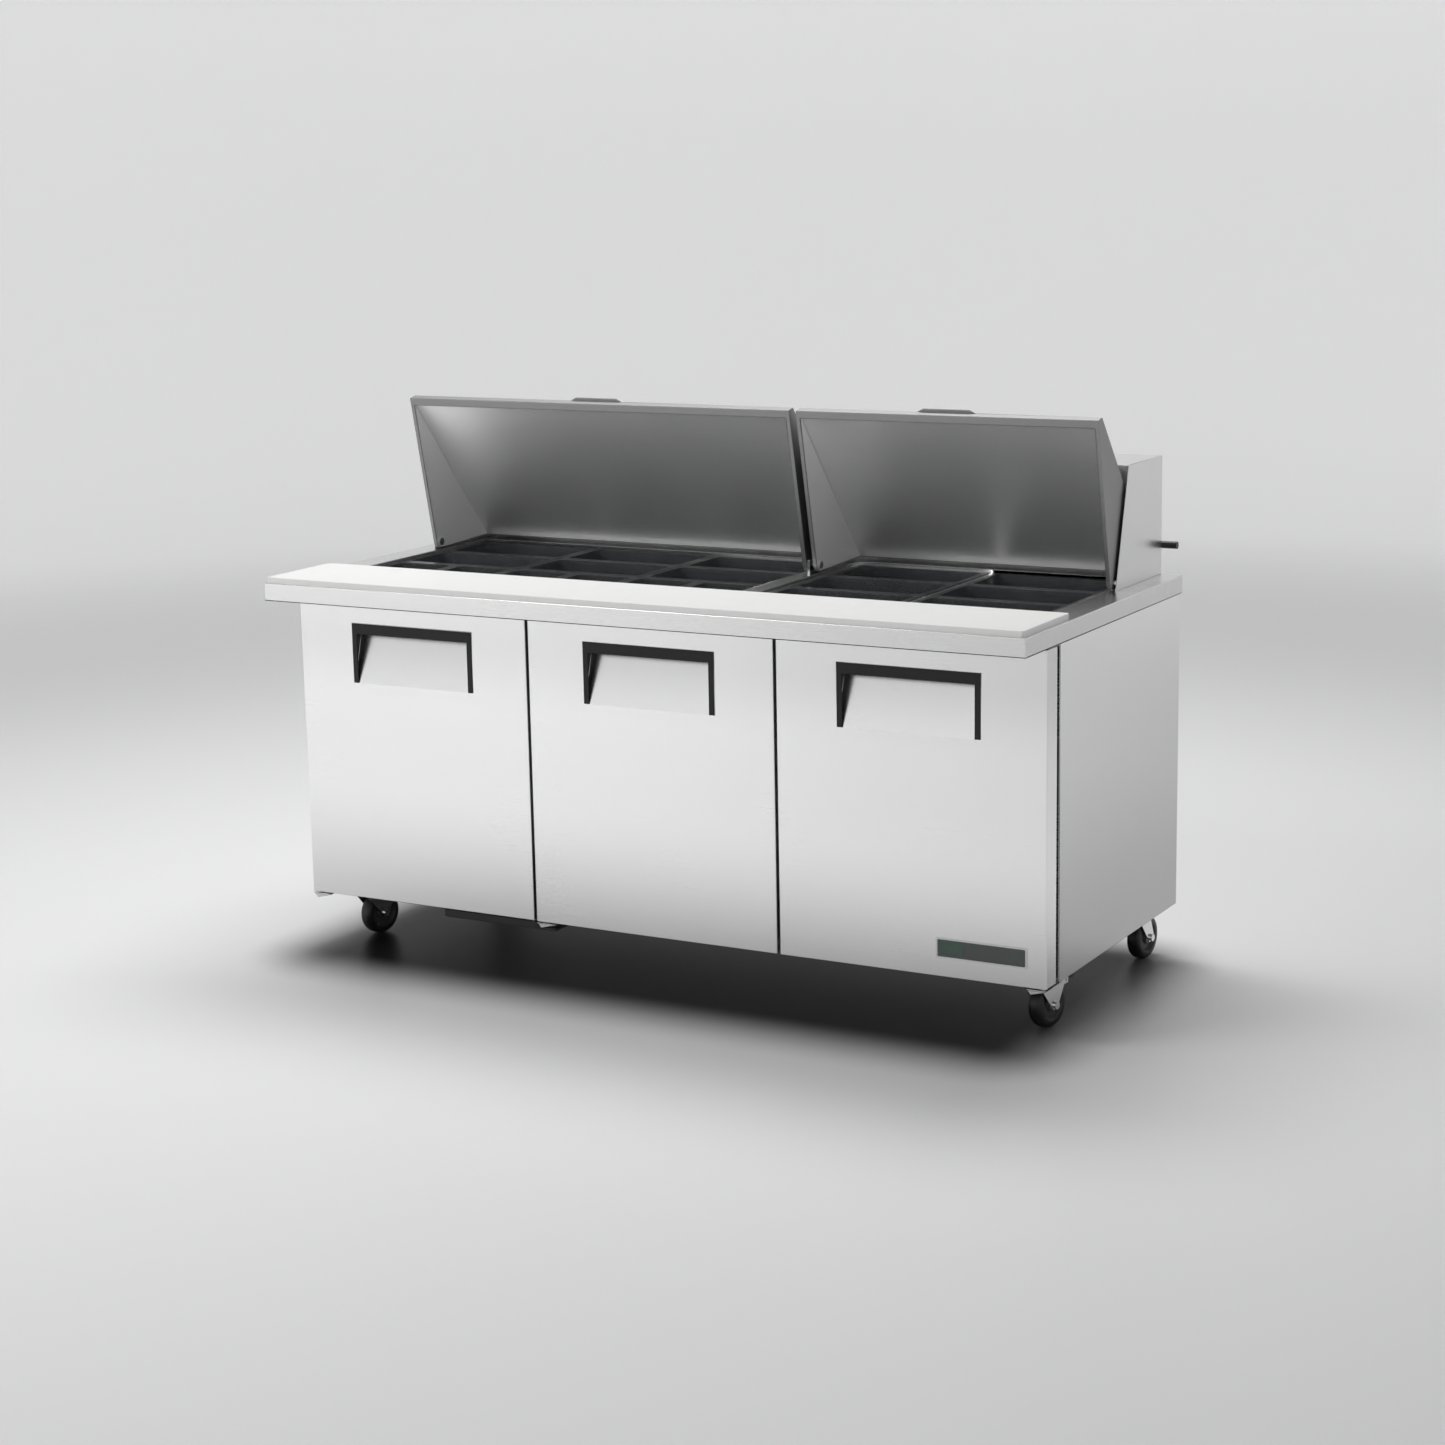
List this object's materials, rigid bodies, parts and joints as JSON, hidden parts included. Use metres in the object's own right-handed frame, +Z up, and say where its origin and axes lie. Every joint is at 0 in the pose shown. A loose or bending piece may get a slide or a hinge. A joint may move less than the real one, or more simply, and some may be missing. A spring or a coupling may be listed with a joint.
{
  "type": "sandwich prep table",
  "caption": "Refrigerated sandwich prep table on casters: stainless cabinet with reach-in doors, open pan rail under lifting hood lids, and a full-length cutting board.",
  "frame": {"origin": "middle of the footprint at floor level, under the caster wheels", "axes": "+X to the right along the worktop, +Y from the door side to the back, +Z up"},
  "size_m": [1.839, 0.884, 1.247],
  "materials": {
    "stainless_steel": "satin",
    "galvanised_sheet": "satin",
    "aluminium_liner": "satin",
    "foam": "matte",
    "door_liner": "satin",
    "black_plastic": "satin",
    "gasket_rubber": "matte",
    "white_board": "satin",
    "clear_plastic": "gloss",
    "coated_wire": "gloss",
    "chrome": "polished",
    "coil_fins": "satin",
    "black_paint": "satin",
    "dark_plate": "satin",
    "caster_tyre": "satin"
  },
  "bodies": {
    "cabinet": {"back_panel": "galvanised_sheet", "base_panel": "galvanised_sheet", "caster_plates": "chrome", "compressor": "black_paint", "condenser_coil": "coil_fins", "cord_gland": "black_plastic", "cutting_board": "white_board", "door_frame": "stainless_steel", "door_hinges": "chrome", "evaporator_case": "galvanised_sheet", "evaporator_coil": "coil_fins", "fan_motor": "black_paint", "foam_insulation": "foam", "hinge_support_rail": "black_paint", "inner_liner": "aluminium_liner", "lid_hinges": "chrome", "machine_tray": "galvanised_sheet", "pan_rails": "stainless_steel", "rear_bumper_bar": "black_plastic", "rear_grille": "galvanised_sheet", "rear_hood": "stainless_steel", "shelf_clips": "chrome", "shelf_posts": "galvanised_sheet", "side_panel_left": "stainless_steel", "side_panel_right": "stainless_steel", "sixth_size_pans": "clear_plastic", "third_size_pans": "clear_plastic", "wire_shelves": "coated_wire", "worktop_deck": "stainless_steel"},
    "left_door": {"left_door_skin": "stainless_steel", "left_door_core": "door_liner", "left_door_handle": "black_plastic", "left_door_gasket": "gasket_rubber"},
    "centre_door": {"centre_door_skin": "stainless_steel", "centre_door_core": "door_liner", "centre_door_handle": "black_plastic", "centre_door_gasket": "gasket_rubber"},
    "right_door": {"right_door_skin": "stainless_steel", "right_door_core": "door_liner", "right_door_handle": "black_plastic", "right_door_gasket": "gasket_rubber", "badge_plate": "dark_plate"},
    "left_lid": {"left_lid_shell": "stainless_steel", "left_lid_liner": "stainless_steel"},
    "right_lid": {"right_lid_shell": "stainless_steel", "right_lid_liner": "stainless_steel"},
    "front_left_swivel": {"front_left_caster_fork": "chrome"},
    "front_left_wheel": {"front_left_caster_wheel": "caster_tyre"},
    "front_left_pedal": {"front_left_caster_brake": "black_paint"},
    "front_right_swivel": {"front_right_caster_fork": "chrome"},
    "front_right_wheel": {"front_right_caster_wheel": "caster_tyre"},
    "front_right_pedal": {"front_right_caster_brake": "black_paint"},
    "rear_left_swivel": {"rear_left_caster_fork": "chrome"},
    "rear_left_wheel": {"rear_left_caster_wheel": "caster_tyre"},
    "rear_right_swivel": {"rear_right_caster_fork": "chrome"},
    "rear_right_wheel": {"rear_right_caster_wheel": "caster_tyre"},
    "evaporator_fan_left_rotor": {"evaporator_fan_left": "black_plastic"},
    "evaporator_fan_right_rotor": {"evaporator_fan_right": "black_plastic"},
    "condenser_fan_rotor": {"condenser_fan": "black_plastic"},
    "thermostat_dial": {"thermostat_knob": "black_plastic"}
  },
  "joints": [
    {"name": "left_door_hinge", "type": "hinge", "parent": "cabinet", "child": "left_door", "pos_m": [-0.9015, -0.309, 0.475], "axis": [0, 0, -1], "range_deg": [0, 100]},
    {"name": "centre_door_hinge", "type": "hinge", "parent": "cabinet", "child": "centre_door", "pos_m": [-0.28833, -0.309, 0.475], "axis": [0, 0, -1], "range_deg": [0, 100]},
    {"name": "right_door_hinge", "type": "hinge", "parent": "cabinet", "child": "right_door", "pos_m": [0.9015, -0.309, 0.475], "axis": [0, 0, 1], "range_deg": [0, 100]},
    {"name": "left_lid_hinge", "type": "hinge", "parent": "cabinet", "child": "left_lid", "pos_m": [-0.3605, 0.158, 0.884], "axis": [1, 0, 0], "range_deg": [0, 78]},
    {"name": "right_lid_hinge", "type": "hinge", "parent": "cabinet", "child": "right_lid", "pos_m": [0.5105, 0.158, 0.884], "axis": [1, 0, 0], "range_deg": [0, 78]},
    {"name": "front_left_caster_swivel", "type": "hinge", "parent": "cabinet", "child": "front_left_swivel", "pos_m": [-0.846, -0.2, 0.11], "axis": [0, 0, 1], "continuous": true},
    {"name": "front_left_wheel_spin", "type": "hinge", "parent": "front_left_swivel", "child": "front_left_wheel", "pos_m": [-0.83976, -0.17066, 0.05], "axis": [0.9781, -0.2079, 0], "continuous": true},
    {"name": "front_left_brake_pedal", "type": "hinge", "parent": "front_left_swivel", "child": "front_left_pedal", "pos_m": [-0.83145, -0.13153, 0.094], "axis": [-0.9781, 0.2079, 0], "range_deg": [0, 15]},
    {"name": "front_right_caster_swivel", "type": "hinge", "parent": "cabinet", "child": "front_right_swivel", "pos_m": [0.846, -0.2, 0.11], "axis": [0, 0, 1], "continuous": true},
    {"name": "front_right_wheel_spin", "type": "hinge", "parent": "front_right_swivel", "child": "front_right_wheel", "pos_m": [0.85224, -0.17066, 0.05], "axis": [0.9781, -0.2079, 0], "continuous": true},
    {"name": "front_right_brake_pedal", "type": "hinge", "parent": "front_right_swivel", "child": "front_right_pedal", "pos_m": [0.86055, -0.13153, 0.094], "axis": [-0.9781, 0.2079, 0], "range_deg": [0, 15]},
    {"name": "rear_left_caster_swivel", "type": "hinge", "parent": "cabinet", "child": "rear_left_swivel", "pos_m": [-0.846, 0.358, 0.11], "axis": [0, 0, 1], "continuous": true},
    {"name": "rear_left_wheel_spin", "type": "hinge", "parent": "rear_left_swivel", "child": "rear_left_wheel", "pos_m": [-0.84286, 0.38784, 0.05], "axis": [0.9945, -0.1045, 0], "continuous": true},
    {"name": "rear_right_caster_swivel", "type": "hinge", "parent": "cabinet", "child": "rear_right_swivel", "pos_m": [0.846, 0.358, 0.11], "axis": [0, 0, 1], "continuous": true},
    {"name": "rear_right_wheel_spin", "type": "hinge", "parent": "rear_right_swivel", "child": "rear_right_wheel", "pos_m": [0.84914, 0.38784, 0.05], "axis": [0.9945, -0.1045, 0], "continuous": true},
    {"name": "evaporator_fan_left_spin", "type": "hinge", "parent": "cabinet", "child": "evaporator_fan_left_rotor", "pos_m": [-0.135, 0.278, 0.6], "axis": [0, 1, 0], "continuous": true},
    {"name": "evaporator_fan_right_spin", "type": "hinge", "parent": "cabinet", "child": "evaporator_fan_right_rotor", "pos_m": [0.135, 0.278, 0.6], "axis": [0, 1, 0], "continuous": true},
    {"name": "condenser_fan_spin", "type": "hinge", "parent": "cabinet", "child": "condenser_fan_rotor", "pos_m": [0.1, 0.345, 0.275], "axis": [0, 1, 0], "continuous": true},
    {"name": "thermostat_turn", "type": "hinge", "parent": "cabinet", "child": "thermostat_dial", "pos_m": [0, 0.242, 0.655], "axis": [0, 1, 0], "range_deg": [-135, 135]}
  ]
}
